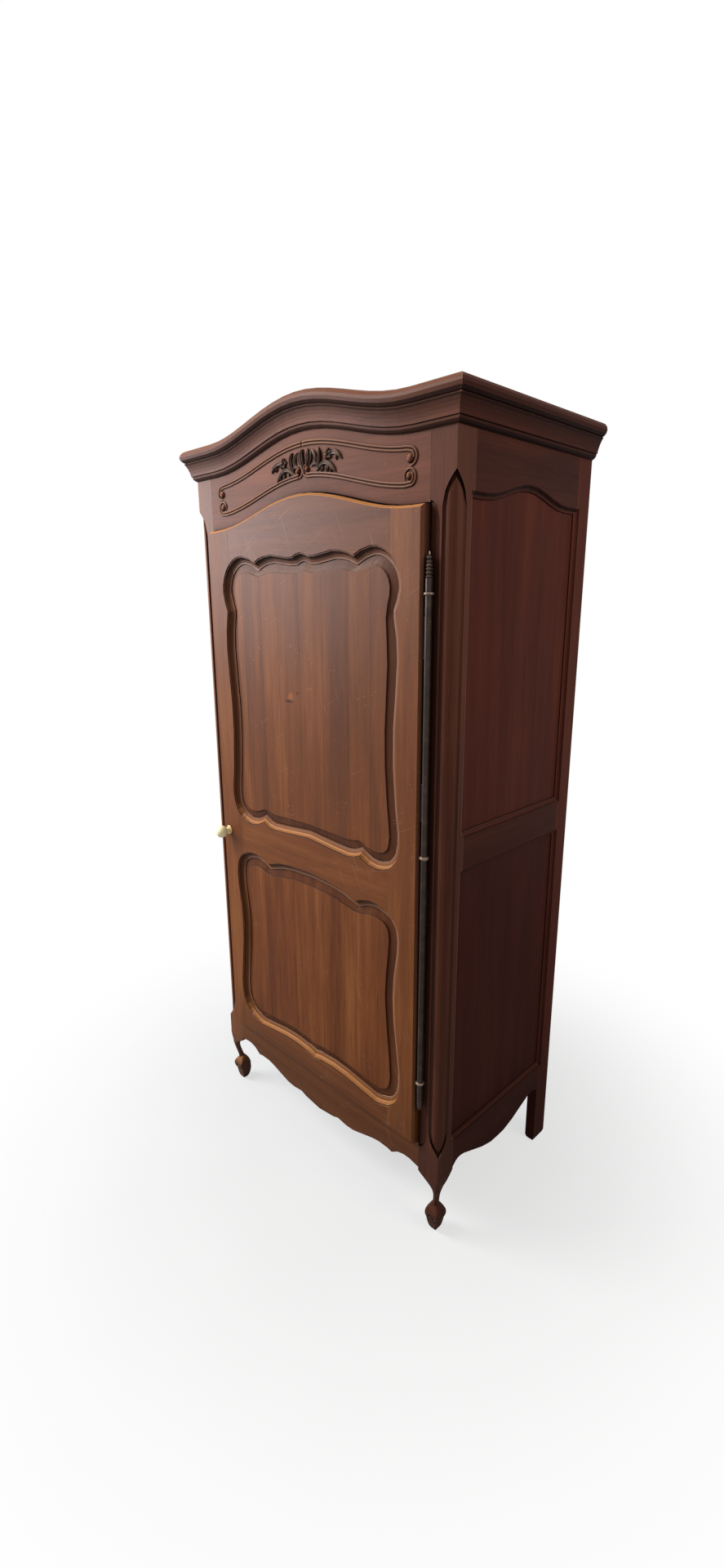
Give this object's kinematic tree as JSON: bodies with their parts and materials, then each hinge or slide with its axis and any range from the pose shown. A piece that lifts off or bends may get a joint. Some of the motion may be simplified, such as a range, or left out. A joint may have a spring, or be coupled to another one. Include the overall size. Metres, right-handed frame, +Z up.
{
  "type": "bonnetiere linen cupboard",
  "caption": "Tall narrow wooden linen cupboard with a panelled door, a waved moulded cornice, inner shelves and scroll front feet.",
  "frame": {"origin": "on the floor, under the middle of the part's own box: midway between its sides, and midway between the front of the knob and the back of the posts", "axes": "+X to the right as seen from the front, +Y from the front to the back, +Z up; the door faces -Y"},
  "size_m": [0.913, 0.552, 1.932],
  "materials": {
    "walnut": "waxed red-brown walnut, satin",
    "walnut_panel": "waxed red-brown walnut, satin",
    "side_wood": "darker waxed wood, satin",
    "inner_wood": "bare planed wood, matt",
    "dark_metal": "darkened brass, worn",
    "cream_knob": "cream bone or early plastic, polished"
  },
  "bodies": {
    "cabinet": {"front_post_right": "walnut", "front_post_left": "walnut", "rear_post_right": "side_wood", "rear_post_left": "side_wood", "frieze_rail": "walnut", "front_apron": "walnut", "side_top_rail_right": "side_wood", "side_top_rail_left": "side_wood", "side_mid_rail_right": "side_wood", "side_mid_rail_left": "side_wood", "side_bottom_rail_right": "side_wood", "side_bottom_rail_left": "side_wood", "side_upper_panel_right": "side_wood", "side_upper_panel_left": "side_wood", "side_lower_panel_right": "side_wood", "side_lower_panel_left": "side_wood", "back_top_rail": "inner_wood", "back_mid_rail": "inner_wood", "back_bottom_rail": "inner_wood", "back_upper_panel": "inner_wood", "back_lower_panel": "inner_wood", "bottom_board": "inner_wood", "bottom_cleat_right": "inner_wood", "bottom_cleat_left": "inner_wood", "top_board": "inner_wood", "top_cleat_right": "inner_wood", "top_cleat_left": "inner_wood", "shelf_1": "inner_wood", "shelf_cleat_1_right": "inner_wood", "shelf_cleat_1_left": "inner_wood", "shelf_2": "inner_wood", "shelf_cleat_2_right": "inner_wood", "shelf_cleat_2_left": "inner_wood", "shelf_3": "inner_wood", "shelf_cleat_3_right": "inner_wood", "shelf_cleat_3_left": "inner_wood", "cornice_front": "walnut", "cornice_side_right": "side_wood", "cornice_side_left": "side_wood", "hinge_lower_barrel": "dark_metal", "hinge_pin": "dark_metal", "hinge_ring": "dark_metal", "catch_body": "dark_metal"},
    "door": {"door_hinge_stile": "walnut", "door_lock_stile": "walnut", "door_top_rail": "walnut", "door_mid_rail": "walnut", "door_bottom_rail": "walnut", "door_upper_panel": "walnut_panel", "door_lower_panel": "walnut_panel", "hinge_upper_barrel": "dark_metal", "door_knob": "cream_knob", "knob_rose": "dark_metal", "knob_screw": "dark_metal", "catch_strike": "dark_metal"}
  },
  "joints": [
    {"name": "door_hinge", "type": "hinge", "parent": "cabinet", "child": "door", "pos_m": [0.372, -0.223, 0.975], "axis": [0, 0, 1], "range_deg": [0, 165]}
  ]
}
